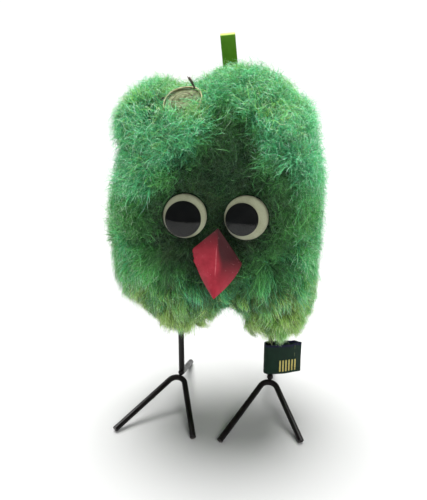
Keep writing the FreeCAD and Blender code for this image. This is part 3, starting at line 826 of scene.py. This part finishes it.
def arc_through(first, middle, last, count):
    """Points on the circle through three points of a plane, without the last one."""
    (ax, ay), (bx, by), (cx, cy) = first, middle, last
    d = 2 * (ax * (by - cy) + bx * (cy - ay) + cx * (ay - by))
    a, b, c = ax * ax + ay * ay, bx * bx + by * by, cx * cx + cy * cy
    centre_x = (a * (by - cy) + b * (cy - ay) + c * (ay - by)) / d
    centre_y = (a * (cx - bx) + b * (ax - cx) + c * (bx - ax)) / d
    centre = np.array([centre_x, centre_y])
    turn = [math.atan2(y - centre[1], x - centre[0]) for x, y in (first, middle, last)]
    radius = math.hypot(ax - centre[0], ay - centre[1])
    forward = (turn[1] - turn[0]) % (2 * math.pi) < (turn[2] - turn[0]) % (2 * math.pi)
    span = (turn[2] - turn[0]) % (2 * math.pi) - (0 if forward else 2 * math.pi)
    angles = turn[0] + span * np.arange(count) / count
    return centre + radius * np.stack([np.cos(angles), np.sin(angles)], axis=1)


# ---- finishes


def painted_wire(name, rough_depth):
    """Black-brown paint on steel: slightly uneven, rubbed grey where it stands on the floor."""
    look = Look(name, Specular_IOR_Level=0.3)
    place = look.place()
    blotch = look.noise(place, 180.0, 5.0)
    paint = look.ramp(blotch, [(0.35, srgb(14, 11, 11)), (0.65, srgb(28, 24, 24))])
    low = look.stepped(look.node("SeparateXYZ", Vector=place).outputs["Z"], 0.0016, 0.0004)
    worn = look.times(low, look.stepped(look.noise(place, 1500.0, 2.0), 0.45, 0.6))
    look.colour(look.blend(worn, paint, srgb(112, 106, 100)))
    look.rough(look.mapped(blotch, 0.3, 0.7, 0.30, 0.5))
    look.bump(look.noise(place, 1100.0, 3.0), rough_depth, 0.5)
    return look


def eye_white():
    """Pressed white plastic, a little cream, greyer in faint patches."""
    look = Look("eye_white", Roughness=0.42)
    cloud = look.noise(look.place(), 150.0, 6.0, Roughness=0.65)
    look.colour(look.ramp(cloud, [
        (0.32, srgb(172, 172, 142)), (0.5, srgb(198, 199, 172)), (0.7, srgb(208, 209, 184))]))
    look.bump(cloud, 0.04, 0.4)
    return look


def clear_dome():
    """Thin clear plastic: seen through, with the gloss of a smooth surface."""
    look = Look("eye_dome")
    look.tree.nodes.clear()
    clear = look.node("BsdfTransparent", Color=(0.93, 0.94, 0.92, 1)).outputs["BSDF"]
    mirror = look.node("BsdfGlossy", Roughness=0.035).outputs["BSDF"]
    edge = look.node("Fresnel", IOR=1.28).outputs["Fac"]
    mixed = look.node("MixShader", i0=edge, i1=clear, i2=mirror).outputs["Shader"]
    look.node("OutputMaterial", Surface=mixed)
    return look


def pupil_black():
    """Glossy black plastic disc with fine scuffs."""
    look = Look("pupil_black")
    scuffs = look.noise(look.place(), 240.0, 5.0, Roughness=0.6)
    look.colour(look.ramp(scuffs, [(0.4, srgb(8, 8, 10)), (0.75, srgb(18, 18, 20))]))
    look.rough(look.mapped(scuffs, 0.35, 0.75, 0.28, 0.4))
    return look


def beak_leathercloth():
    """Red grained leathercloth: darkened by a stain and by painted shade where it tucks under the brow, with
    a painted highlight along its ridge.
    """
    look = Look("beak_leathercloth", Specular_IOR_Level=0.35)
    place = look.place()
    u, v = look.uv()
    cloud = look.noise(place, 260.0, 6.0, Roughness=0.6)
    red = look.ramp(cloud, [(0.3, srgb(138, 26, 42)), (0.52, srgb(162, 38, 54)), (0.72, srgb(180, 54, 70))])
    # a stain and painted shade: dark at the top, and further down on the right of the ridge
    shift = look.times(look.stepped(u, 0.232, 0.32), 0.40)
    level = look.maths("ADD", look.maths("ADD", v, shift), look.times(cloud, 0.2))
    red = look.blend(look.times(look.stepped(level, 0.62, 1.12), 0.95), red, srgb(44, 10, 14))
    # painted highlight: a paler line along the middle of the ridge
    from_ridge = look.maths("ABSOLUTE", look.maths("SUBTRACT", u, 0.245))
    painted_ridge_highlight = look.times(look.stepped(from_ridge, 0.008, 0.002), look.stepped(cloud, 0.35, 0.55))
    painted_ridge_highlight = look.times(painted_ridge_highlight, between(look, v, 0.25, 0.4, 0.6, 0.8))
    red = look.blend(look.times(painted_ridge_highlight, 0.55), red, srgb(214, 120, 126))
    dust = look.node("TexVoronoi", Vector=place, Scale=900.0).outputs["Distance"]
    look.colour(look.blend(look.stepped(dust, 0.09, 0.04), red, srgb(206, 150, 150)))
    look.rough(look.mapped(cloud, 0.3, 0.7, 0.42, 0.6))
    grain = look.node("TexVoronoi", {"feature": "SMOOTH_F1"}, Vector=place, Scale=2300.0).outputs["Distance"]
    look.bump(grain, 0.09, 0.55)
    return look


def green_ribbon():
    """Ribbed olive-green ribbon, with a painted yellow-green highlight along its fold."""
    look = Look("green_ribbon", Roughness=0.5, Specular_IOR_Level=0.3)
    u, v = look.uv()
    cloud = look.noise(look.place(), 240.0, 5.0)
    green = look.ramp(cloud, [(0.3, srgb(62, 110, 16)), (0.7, srgb(80, 132, 26))])
    green = look.blend(look.times(look.woven(u, v, 9, 160, 0.05), 0.25), green, srgb(112, 164, 40))
    # painted highlight: yellow-green along the fold
    from_fold = look.maths("ABSOLUTE", look.maths("SUBTRACT", v, 0.5))
    look.colour(look.blend(look.stepped(from_fold, 0.031, 0.022), green, srgb(214, 244, 120)))
    return look


def straw():
    """Plaited straw: pale strands with darker gaps between them."""
    look = Look("straw", Roughness=0.6, Specular_IOR_Level=0.35)
    u, v = look.uv()
    tan = look.ramp(look.noise(look.place(), 700.0, 5.0), [
        (0.3, srgb(104, 116, 76)), (0.5, srgb(150, 164, 120)), (0.72, srgb(196, 204, 162))])
    tan = look.blend(look.times(look.woven(u, v, 30, 120, 0.07), 0.45), tan, srgb(88, 84, 58))
    # painted shade on the inside of the brim's lip, and a painted highlight along its edge
    inner = between(look, u, 0.193, 0.203, 0.217, 0.225)
    tan = look.blend(look.times(inner, 0.7), tan, srgb(66, 62, 40))
    edge = between(look, u, 0.218, 0.226, 0.246, 0.262)
    look.colour(look.blend(look.times(edge, 0.85), tan, srgb(232, 222, 176)))
    return look


def feather_barbs():
    """Dark brown, paling to its tip: V rises with the place along the feather."""
    look = Look("feather", Roughness=0.55, Sheen_Weight=0.2)
    brown = look.ramp(look.uv()[1], [
        (0.0, srgb(40, 30, 26)), (0.5, srgb(84, 70, 62)),
        (0.7, srgb(160, 144, 132)), (1.0, srgb(232, 224, 216))])
    dark = look.times(look.stepped(look.noise(look.place(), 1500.0, 3.0), 0.5, 0.65), 0.5)
    look.colour(look.blend(dark, brown, srgb(30, 22, 20)))
    return look


def label_weave():
    """Dark green woven ribbon, navy along its top edge."""
    look = Look("label_weave", Roughness=0.62, Specular_IOR_Level=0.25)
    u, v = look.uv()
    cloud = look.noise(look.place(), 300.0, 5.0)
    green = look.ramp(cloud, [(0.3, srgb(8, 26, 19)), (0.7, srgb(16, 42, 30))])
    green = look.blend(look.times(look.woven(u, v, 34, 80, 0.05), 0.35), green, srgb(36, 70, 52))
    top = look.stepped(look.maths("FRACT", look.times(u, 1.96)), 0.84, 0.90)
    look.colour(look.blend(top, green, srgb(22, 24, 52)))
    return look


def fibrous(name, scale, detail, first, second, depth, strength=0.6, **values):
    """Small-scale cloth or thread: two colours and a relief that follow one fine noise."""
    look = Look(name, **values)
    fibres = look.noise(look.place(), scale, detail)
    look.colour(look.ramp(fibres, [first, second]))
    look.bump(fibres, depth, strength)
    return look


def core_wood():
    """Plain softwood with rings, inside the fur."""
    look = Look("core_wood", Roughness=0.7)
    wave = look.node(
        "TexWave", {"wave_type": "RINGS"}, Vector=look.place(), Scale=90.0, Distortion=3.0, Detail=3.0)
    rings = wave.outputs["Fac"]
    look.colour(look.ramp(rings, [(0.2, srgb(150, 108, 64)), (0.8, srgb(204, 168, 116))]))
    look.bump(rings, 0.1, 0.4)
    return look


# ---- hard parts


def dress(name, look):
    NODES[name].data.materials.clear()
    NODES[name].data.materials.append(look.material)


wire_look = painted_wire("painted_wire", 0.05)
weld_look = painted_wire("painted_weld", 0.25)
white_look, dome_look, black_look = eye_white(), clear_dome(), pupil_black()
for side in SIDES:
    dress(side + "_leg_wire", wire_look)
    dress(side + "_toe_wire", wire_look)
    dress(side + "_ankle_weld", weld_look)
    dress(side + "_eye_back", white_look)
    dress(side + "_eye_dome", dome_look)
    dress(side + "_pupil", black_look)
dress("body_core", core_wood())
dress("hat_band", fibrous(
    "band_cloth", 2600.0, 3.0, (0.35, srgb(62, 54, 36)), (0.7, srgb(112, 102, 72)), 0.1, 0.7,
    Roughness=0.8, Sheen_Weight=0.2))
dress("label_stitches", fibrous(
    "seam_thread", 4200.0, 2.0, (0.35, srgb(40, 60, 36)), (0.65, srgb(86, 96, 56)), 0.05, Roughness=0.55))


def beak_piece():
    """Folded leathercloth: a rounded ridge, slightly swollen sides, and a ragged cut on its left edge."""
    rows, columns = 90, 61
    down = BEAK_LENGTH * np.linspace(0.004, 0.999, rows)[:, None]
    share = np.linspace(-1, 1, columns)[None]
    reach = np.where(share > 0, beak_reach(down, BEAK_RIGHT_SHOULDER), beak_reach(down, BEAK_LEFT_SHOULDER))
    rag = 0.30 * np.sin(7.0 * down) * np.sin(2.9 * down + 1) + 0.45 * np.exp(-((down - 13.0) / 0.8) ** 2)
    rag = rag * np.exp(-((down - 11.5) / 3.2) ** 2)
    side = reach * share - rag * soft_step(-share, 0.6, 1.0)
    ridge_r = 0.4
    sunk = BEAK_FOLD_DEPTH / (BEAK_WIDTH / 2) * (np.sqrt(side ** 2 + ridge_r ** 2) - ridge_r)
    swell = 0.30 * np.sin(math.pi * np.abs(share)) * soft_step(down, 0, 9)
    curl = 0.25 * np.sin(0.5 * down + 0.8) * np.abs(share) ** 3
    front = BEAK_TOP + side[..., None] * BEAK_SIDE + down[..., None] * BEAK_DOWN
    front = front + (swell - sunk + curl)[..., None] * BEAK_FRONT
    back = front - BEAK_T * BEAK_FRONT
    return sheet_mesh("beak_cloth", front[::-1], back[::-1])


beak_cloth = add_mesh(beak_piece(), beak_leathercloth())
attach(beak_cloth, "bird")
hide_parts("beak")

RIBBON_PLY = 0.5
RIBBON_BEND_R = 1.1
RIBBON_DROP = ribbon_high[2] - ribbon_low[2] - 1.2
RIBBON_UP = np.array([-math.sin(RIBBON_LEAN), 0, math.cos(RIBBON_LEAN)])


def ribbon_piece():
    """A strip folded over at its top, its two ends going down into the fur."""
    climb = np.linspace(-RIBBON_DROP, -RIBBON_BEND_R - RIBBON_PLY / 2, 90)
    turn = np.linspace(0, math.pi, 16)[1:-1]
    y = RIBBON_BEND_R * np.concatenate([-np.ones(90), -np.cos(turn), np.ones(90)])
    z = np.concatenate([climb, climb[-1] + RIBBON_BEND_R * np.sin(turn), climb[::-1]])
    normal = -unit(np.stack([np.gradient(z), -np.gradient(y)], axis=1))
    across_it = np.linspace(-1, 1, 25)
    bow = 0.10 * (1 - across_it ** 2)[None] * np.sin(0.35 * z)[:, None]
    selvedge = 1 - 0.35 * (np.abs(across_it) > 0.95)
    sideways = across_it[None] * RIBBON_W / 2 * np.ones((len(z), 1))
    grids = []
    for offset in (RIBBON_PLY / 2, -RIBBON_PLY / 2):
        depth = offset * selvedge[None]
        y_all = y[:, None] + normal[:, :1] * depth + bow
        z_all = z[:, None] + normal[:, 1:] * depth
        grid = RIBBON_TOP + sideways[..., None] * RIBBON_SIDE + z_all[..., None] * RIBBON_UP
        grid[..., 1] += y_all
        grids.append(grid)
    return sheet_mesh("ribbon_loop", *grids)


ribbon_loop = add_mesh(ribbon_piece(), green_ribbon())
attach(ribbon_loop, "bird")
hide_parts("tail_ribbon")

# ---- straw hat

HAT_CROWN_R = 3.7
HAT_CROWN_H = 1.9
HAT_STRAW = 0.6
PLAIT_PITCH = 0.85
PLAIT_H = 0.16
BRIM_WAVE = 0.25

# (radius, height): over the crown and brim to the lip, and back underneath
HAT_PROFILE = np.array([
    (0.0, HAT_CROWN_H), (HAT_CROWN_R - 0.7, HAT_CROWN_H), (HAT_CROWN_R - 0.15, HAT_CROWN_H - 0.2),
    (HAT_CROWN_R, HAT_CROWN_H - 0.7), (HAT_CROWN_R, HAT_STRAW + 0.1), (HAT_CROWN_R + 0.3, HAT_STRAW),
    (HAT_R - 0.9, HAT_STRAW), (HAT_R - 0.6, HAT_STRAW + 0.25), (HAT_R - 0.45, HAT_LIP_H),
    (HAT_R - 0.15, HAT_LIP_H + 0.1), (HAT_R, HAT_LIP_H - 0.15), (HAT_R - 0.1, 0.2), (HAT_R - 0.4, 0.0),
    (HAT_CROWN_R - 0.4, 0.0), (HAT_CROWN_R - 0.7, 0.3), (HAT_CROWN_R - 0.8, HAT_CROWN_H - 0.8),
    (0.0, HAT_CROWN_H - 0.65)])


def hat_piece():
    """Plaited straw wound in a spiral, as a closed shell with a raised herringbone."""
    turns, steps = 288, 170
    legs = lengths(np.diff(HAT_PROFILE, axis=0))
    reach = np.concatenate([[0], np.cumsum(legs)])
    s = np.linspace(0, reach[-1], steps)
    r, z = (np.interp(s, reach, HAT_PROFILE[:, k]) for k in (0, 1))
    normal = unit(np.stack([-np.gradient(z), np.gradient(r)], axis=1))
    angles = np.arange(turns) * 2 * math.pi / turns
    row = s[None] / PLAIT_PITCH + angles[:, None] / (2 * math.pi)
    plaits = 2 * np.abs(row - np.floor(row) - 0.5)
    herringbone = 0.07 * np.cos(72 * angles[:, None] + 5.5 * plaits)
    raised = PLAIT_H * (np.sqrt(np.abs(np.sin(math.pi * row))) - 1) + herringbone
    raised = raised * soft_step(r, 0.1, 1.0)[None]
    radius = np.maximum(r[None] + normal[None, :, 0] * raised, 0)
    height = z[None] + normal[None, :, 1] * raised
    radius[:, 0] = radius[:, -1] = 0
    wavy = height + BRIM_WAVE * soft_step(r, 4, HAT_R)[None] * np.sin(3 * angles + 1.0)[:, None]
    grid = on_hat(radius * np.cos(angles)[:, None], radius * np.sin(angles)[:, None], wavy)
    mesh = bpy.data.meshes.new("hat_straw")
    faces = quads_of(turns, steps, 0, wrap=True)
    mesh.from_pydata((grid.reshape(-1, 3) * MM).tolist(), [], faces.tolist())
    u = np.tile(np.linspace(0.01, 0.48, steps), turns)
    v = np.repeat(np.linspace(0.01, 0.99, turns), steps)
    set_uv(mesh, np.stack([u, v], axis=1)[faces.ravel()])
    solid = bmesh.new()
    solid.from_mesh(mesh)
    bmesh.ops.remove_doubles(solid, verts=solid.verts, dist=1e-7)
    bmesh.ops.recalc_face_normals(solid, faces=solid.faces)
    solid.to_mesh(mesh)
    solid.free()
    mesh.shade_smooth()
    return mesh


straw_look = straw()
hat_straw = add_mesh(hat_piece(), straw_look)
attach(hat_straw, "bird")
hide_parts("straw_hat")


def rim_straws(count=90):
    """Loose ends of straw that stand off the brim's edge, mostly along it."""
    angle = draw.uniform(0, 2 * math.pi, count)
    length = draw.uniform(1.2, 3.4, count)
    steps = np.linspace(0, 1, 6)
    turn = angle[:, None] + (length[:, None] * steps) / HAT_R
    radius = HAT_R - 0.15 + draw.uniform(-0.25, 0.1, (count, 1))
    radius = radius + draw.uniform(-0.1, 0.45, (count, 1)) * steps ** 2
    height = HAT_LIP_H + draw.uniform(-0.5, 0.15, (count, 1))
    height = height + draw.uniform(-0.1, 0.4, (count, 1)) * steps ** 2
    height += BRIM_WAVE * np.sin(3 * turn + 1.0)
    return on_hat(radius * np.cos(turn), radius * np.sin(turn), height)


straw_ends = rim_straws()
ends_mesh = strand_mesh("hat_straw_ends", straw_ends, draw.uniform(0.05, 0.1, len(straw_ends)), 0.2, 0.8)
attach(add_mesh(ends_mesh, straw_look), "bird")

KNOT_PLACE = (-6.9, 4.3, 0.9)
KNOT_R = 0.75


def knot_fibres(count=160):
    """A small tangled knot of dark thread outside the far edge of the brim."""
    turn = draw.uniform(0, 2 * math.pi, (count, 1)) + np.linspace(0, 2.6, 6)
    tilt = draw.uniform(-1.2, 1.2, (count, 1)) + 0.2 * np.sin(turn * 2)
    radius = KNOT_R * draw.uniform(0.75, 1.1, (count, 1))
    x = KNOT_PLACE[0] + 1.15 * radius * np.cos(turn) * np.cos(tilt)
    y = KNOT_PLACE[1] + radius * np.sin(turn) * np.cos(tilt)
    z = KNOT_PLACE[2] + 0.85 * radius * np.sin(tilt)
    return on_hat(x, y, z)


knot_mesh = strand_mesh("hat_thread_knot", knot_fibres(), 0.09, 0.3, 0.3)

FEATHER_L = 6.6
FEATHER_HALF_W = 1.35
FEATHER_LEAN = math.radians(12)
FEATHER_TURN = math.radians(-52)
FEATHER_FROM_MIDDLE = 6.33


def feather_place(x, y, z):
    """From the feather's own frame, upright with its face towards -Y, to the bird's."""
    x, z = rotated(x, z, FEATHER_LEAN)
    x, y = rotated(x, y + FEATHER_FROM_MIDDLE, FEATHER_TURN)
    return on_hat(x, y, z + HAT_STRAW)


def quill_bend(z):
    return 0.25 * np.sin(z / FEATHER_L * 2.2) - 0.1


def feather_piece(barbs=130):
    """Barbs that slant up from a bent quill on both sides, shorter at its ends, and their lightness."""
    rise = np.linspace(0.16, 0.97, barbs)
    steps = np.linspace(0, 1, 5)
    spines = []
    for sign in (-1, 1):
        out = FEATHER_HALF_W * np.sin(math.pi * np.clip((rise - 0.1) / 0.98, 0, 1)) ** 0.7
        out = out * draw.uniform(0.82, 1.05, barbs)
        x = sign * out[:, None] * steps
        z = FEATHER_L * rise[:, None] * 0.9 + out[:, None] * 1.3 * steps ** 1.4
        y = 0.12 + 0.22 * steps ** 2 + draw.uniform(-0.05, 0.05, (barbs, 1)) * steps
        spines.append(feather_place(x + quill_bend(z), y * np.ones_like(x), z))
    return np.concatenate(spines), np.tile(0.15 + 0.85 * rise, 2)


barb_spines, barb_lights = feather_piece()
barb_mesh = strand_mesh("hat_feather_barbs", barb_spines, 0.075, 0.3, barb_lights)
quill_z = np.linspace(0, FEATHER_L * 0.97, 9)[None]
quill_spine = feather_place(quill_bend(quill_z), np.full_like(quill_z, 0.12), quill_z)
quill_mesh = strand_mesh("hat_feather_quill", quill_spine, 0.11, 0.3, 0.5)
feather_look = feather_barbs()
barbs_piece = add_mesh(barb_mesh, feather_look)
quill_piece = add_mesh(quill_mesh, feather_look)
knot_piece = add_mesh(knot_mesh, feather_look)
for piece in (barbs_piece, quill_piece, knot_piece):
    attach(piece, "bird")
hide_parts("hat_feather")

# ---- label on the right leg

LABEL_REACH = 12.9
LABEL_T = 0.4             # the CAD label's thickness
LABEL_PLY = 0.36          # the woven cloth's, a little inside it
LABEL_COUNTS = (26, 60, 8, 60)
LABEL_SLACK = 1.1
LABEL_BELLY = 1.7
LABEL_GAP = 0.25
LABEL_TURN = math.radians(12)
label_low, label_high = node_box("label")
LABEL_PLACE = np.array([LEG_X["right"], LEG_Y, label_low[2]])
LABEL_H = label_high[2] - label_low[2]


def label_line(inward):
    """The loop in plan, in the label's own frame: round the wire, front ply, crease, back ply."""
    wire_end = WIRE_R + LABEL_GAP + LABEL_T - inward
    crease = LABEL_T + LABEL_GAP / 2 - inward
    belly = LABEL_BELLY + LABEL_T - inward
    far_x = LABEL_REACH - LABEL_T - LABEL_GAP / 2
    middle_x = (far_x - LABEL_SLACK) / 2
    near_front, near_back = (-LABEL_SLACK, -wire_end), (-LABEL_SLACK, wire_end)
    far_front, far_back = (far_x, -crease), (far_x, crease)
    return np.concatenate([
        arc_through(near_back, (-LABEL_SLACK - wire_end, 0), near_front, LABEL_COUNTS[0]),
        arc_through(near_front, (middle_x, -belly), far_front, LABEL_COUNTS[1]),
        arc_through(far_front, (far_x + crease, 0), far_back, LABEL_COUNTS[2]),
        arc_through(far_back, (middle_x, belly), near_back, LABEL_COUNTS[3])])


def on_right_leg(flat, height):
    """Places given in the label's own frame, in the part's frame."""
    return LABEL_PLACE + np.stack([*rotated(flat[..., 0], flat[..., 1], LABEL_TURN), height], axis=-1)


def ripple(along, rise):
    """How far the label's free part bends forwards or back, rise being the share of its height."""
    return 0.18 * np.sin(0.9 * along + 5 * rise) * soft_step(along, 2.0, 11.0)


def label_grid(inward):
    line = label_line(inward)
    up = np.linspace(0, 1, 40)
    flat = np.repeat(line[:, None], len(up), axis=1)
    flat[..., 1] += ripple(flat[..., 0], up[None])
    far = soft_step(flat[..., 0], 2.0, 11.0)
    height = up[None] * LABEL_H * np.ones((len(line), 1))
    height -= 0.35 * far * up[None] * (0.5 + 0.5 * np.sin(1.7 * flat[..., 0]))
    return on_right_leg(flat, height)


LABEL_OUTSIDE = 0.02
label_plies = label_grid(LABEL_OUTSIDE), label_grid(LABEL_OUTSIDE + LABEL_PLY)
label_cloth = add_mesh(sheet_mesh("label_cloth", *label_plies, wrap=True), label_weave())
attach(label_cloth, "leg_label")
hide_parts("label")

BAR_COUNT = 6
BAR_W = 0.62
BAR_H = 5.2
BAR_PITCH = 1.3
BAR_FIRST = 3.6
BAR_FOOT = 1.1
BAR_STITCHES = 26


def gold_bars():
    """Plain gold satin bars on the label's front, each a row of raised stitches."""
    line = label_line(LABEL_OUTSIDE)[LABEL_COUNTS[0]:sum(LABEL_COUNTS[:2]) + 1]
    over = np.linspace(-1, 1, 9)
    up = np.linspace(0, 1, 53)
    stitches = 0.75 + 0.25 * np.cos(BAR_STITCHES * 2 * math.pi * up)
    raised = 0.02 + 0.09 * np.sqrt(np.maximum(1 - over ** 2, 0))[None] * stitches[:, None]
    meshes = []
    for index in range(BAR_COUNT):
        x = BAR_FIRST + index * BAR_PITCH + over * BAR_W / 2
        y = np.interp(x, line[:, 0], line[:, 1])
        flat = np.stack([np.broadcast_to(x, raised.shape), y[None] - raised], axis=-1)
        height = BAR_FOOT + BAR_H * up[:, None] * np.ones_like(x)
        flat[..., 1] += ripple(flat[..., 0], height / LABEL_H)
        inner = flat + np.array([0, 0.12])
        meshes.append(sheet_mesh("bar", on_right_leg(flat, height), on_right_leg(inner, height)))
    joined = bmesh.new()
    for mesh in meshes:
        joined.from_mesh(mesh)
    result = bpy.data.meshes.new("label_gold_bars")
    joined.to_mesh(result)
    joined.free()
    result.shade_smooth()
    return result


gold_look = fibrous(
    "gold_thread", 4200.0, 2.0, (0.35, srgb(176, 156, 74)), (0.65, srgb(226, 214, 132)), 0.05,
    Roughness=0.38, Metallic=0.25)
label_gold_bars = add_mesh(gold_bars(), gold_look)
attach(label_gold_bars, "leg_label")

# ---- floor and light

# in metres
FLOOR_HALF = 14.0
BACKDROP_R = 8.0
BACKDROP_H = 6.0
BACKDROP_SIDES = 96


def staged(name, places, faces, look):
    """A plain mesh in metres that isn't part of the bird."""
    mesh = bpy.data.meshes.new(name)
    mesh.from_pydata(places, [], faces)
    mesh.materials.append(look.material)
    made = bpy.data.objects.new(name, mesh)
    bpy.context.scene.collection.objects.link(made)
    return made


staged(
    "floor", [(x * FLOOR_HALF, y * FLOOR_HALF, 0) for x, y in ((-1, -1), (1, -1), (1, 1), (-1, 1))],
    [(0, 1, 2, 3)], Look("floor", Base_Color=(0.62, 0.62, 0.615, 1), Roughness=0.8, Specular_IOR_Level=0.2))

# a pale backdrop all round, only seen directly, so that low views have no dark band above the floor
turns = np.arange(BACKDROP_SIDES) * 2 * math.pi / BACKDROP_SIDES
foot = np.stack([BACKDROP_R * np.cos(turns), BACKDROP_R * np.sin(turns), np.zeros(BACKDROP_SIDES)], axis=1)
here = np.arange(BACKDROP_SIDES)
after = np.roll(here, -1)
walls = np.stack([here, after, after + BACKDROP_SIDES, here + BACKDROP_SIDES], axis=1)
backdrop = staged(
    "backdrop", np.concatenate([foot, foot + [0, 0, BACKDROP_H]]).tolist(), walls.tolist(),
    Look("backdrop", Base_Color=(0, 0, 0, 1), Roughness=1.0, Specular_IOR_Level=0.0,
         Emission_Color=(1.0, 1.0, 0.995, 1), Emission_Strength=0.96))
backdrop.visible_diffuse = False
backdrop.visible_glossy = False
backdrop.visible_transmission = False
backdrop.visible_shadow = False


def aimed(name, data, place, target):
    lamp = bpy.data.objects.new(name, data)
    lamp.location = Vector(place)
    lamp.rotation_euler = (Vector(place) - Vector(target)).to_track_quat("Z", "Y").to_euler()
    bpy.context.scene.collection.objects.link(lamp)
    return lamp


sky = bpy.data.lights.new("sky", "SUN")
sky.energy = 5.5
sky.angle = math.radians(48)
aimed("sky", sky, (-0.08, 0.30, 1.0), (0, 0, 0))

fill = bpy.data.lights.new("fill", "AREA")
fill.shape = "RECTANGLE"
fill.size = 0.5
fill.size_y = 0.4
fill.energy = 4.2
aimed("fill", fill, (0.3, -0.7, 0.6), (0, 0, 0.09)).visible_glossy = False

world = bpy.data.worlds.new("world")
world.use_nodes = True
world.node_tree.nodes["Background"].inputs["Color"].default_value = (0.06, 0.065, 0.07, 1)
bpy.context.scene.world = world
bpy.context.scene.view_settings.view_transform = "Standard"
